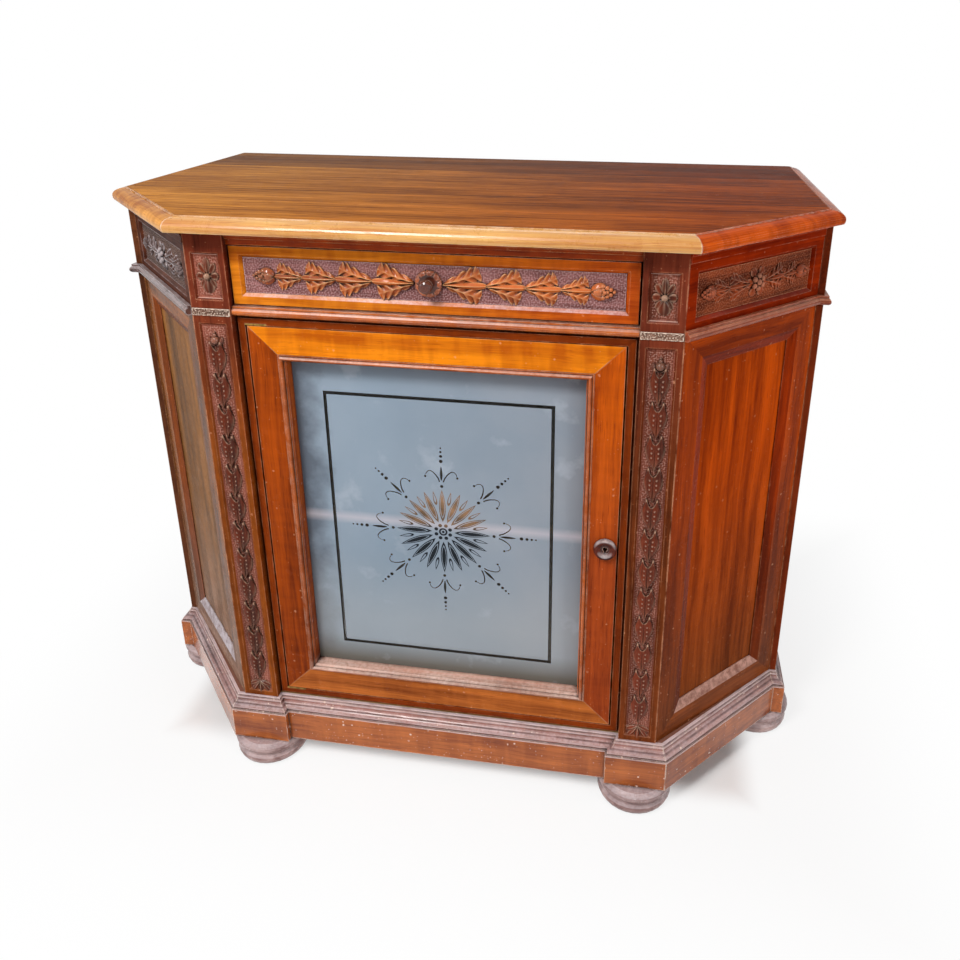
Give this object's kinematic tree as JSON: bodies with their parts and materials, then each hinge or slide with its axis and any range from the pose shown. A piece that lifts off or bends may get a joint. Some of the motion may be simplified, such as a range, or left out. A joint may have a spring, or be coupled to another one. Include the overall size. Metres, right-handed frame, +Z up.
{
  "type": "side cabinet",
  "caption": "Wooden side cabinet with canted corners, a carved drawer over a glazed door, an inner shelf and turned bun feet.",
  "frame": {"origin": "on the floor, under the middle of the cabinet's bounding box", "axes": "+Z up, +X to the cabinet's right as seen from the front, the front facing -Y"},
  "size_m": [1.244, 0.674, 1],
  "materials": {
    "top_walnut": "worn varnish",
    "edge_walnut": "varnished",
    "frieze_walnut": "carved and waxed",
    "pilaster_walnut": "carved and waxed",
    "frame_walnut": "varnished",
    "drawer_walnut": "varnished",
    "plinth_walnut": "scuffed and dusty",
    "foot_walnut": "scuffed and dusty",
    "inner_pine": "bare",
    "dark_turning": "polished",
    "frosted_glass": "etched",
    "iron": "dull",
    "brass": "aged"
  },
  "bodies": {
    "carcass": {"top_board": "top_walnut", "top_moulding_front": "edge_walnut", "top_moulding_cant_left": "edge_walnut", "top_moulding_cant_right": "edge_walnut", "top_moulding_side_left": "edge_walnut", "top_moulding_side_right": "edge_walnut", "frieze_rail": "drawer_walnut", "drawer_divider": "drawer_walnut", "door_surround": "frame_walnut", "pilaster_left": "pilaster_walnut", "pilaster_right": "pilaster_walnut", "cant_frame_left": "frame_walnut", "cant_frame_right": "frame_walnut", "cant_panel_left": "frame_walnut", "cant_panel_right": "frame_walnut", "cant_frieze_left": "frieze_walnut", "cant_frieze_right": "frieze_walnut", "side_frame_left": "frame_walnut", "side_frame_right": "frame_walnut", "side_panel_left": "frame_walnut", "side_panel_right": "frame_walnut", "waist_bead_left": "frieze_walnut", "waist_bead_right": "frieze_walnut", "back_panel": "inner_pine", "plinth_front": "plinth_walnut", "plinth_block_left": "plinth_walnut", "plinth_block_right": "plinth_walnut", "plinth_cant_left": "plinth_walnut", "plinth_cant_right": "plinth_walnut", "plinth_side_left": "plinth_walnut", "plinth_side_right": "plinth_walnut", "bottom_board": "inner_pine", "foot_front_left": "foot_walnut", "foot_front_right": "foot_walnut", "foot_post_left": "foot_walnut", "foot_post_right": "foot_walnut", "foot_rear_left": "foot_walnut", "foot_rear_right": "foot_walnut", "shelf": "inner_pine", "shelf_bearer_left": "inner_pine", "shelf_bearer_right": "inner_pine", "drawer_runner_left": "inner_pine", "drawer_runner_right": "inner_pine", "door_pivot_bottom": "brass", "door_pivot_top": "brass"},
    "drawer": {"drawer_front": "drawer_walnut", "drawer_side_left": "inner_pine", "drawer_side_right": "inner_pine", "drawer_back": "inner_pine", "drawer_bottom": "inner_pine", "drawer_knob": "dark_turning"},
    "door": {"door_stile_left": "frame_walnut", "door_stile_right": "frame_walnut", "door_rail_top": "frame_walnut", "door_rail_bottom": "frame_walnut", "door_moulding": "frame_walnut", "door_glass": "frosted_glass", "escutcheon": "dark_turning", "lock_case": "iron"},
    "lock_bolt": {"lock_bolt": "brass"}
  },
  "joints": [
    {"name": "drawer_slide", "type": "slide", "parent": "carcass", "child": "drawer", "axis": [0, -1, 0], "range_m": [0, 0.35]},
    {"name": "door_hinge", "type": "hinge", "parent": "carcass", "child": "door", "pos_m": [-0.2725, -0.278, 0.5], "axis": [0, 0, -1], "range_deg": [0, 105]},
    {"name": "bolt_slide", "type": "slide", "parent": "door", "child": "lock_bolt", "axis": [1, 0, 0], "range_m": [0, 0.008]}
  ]
}
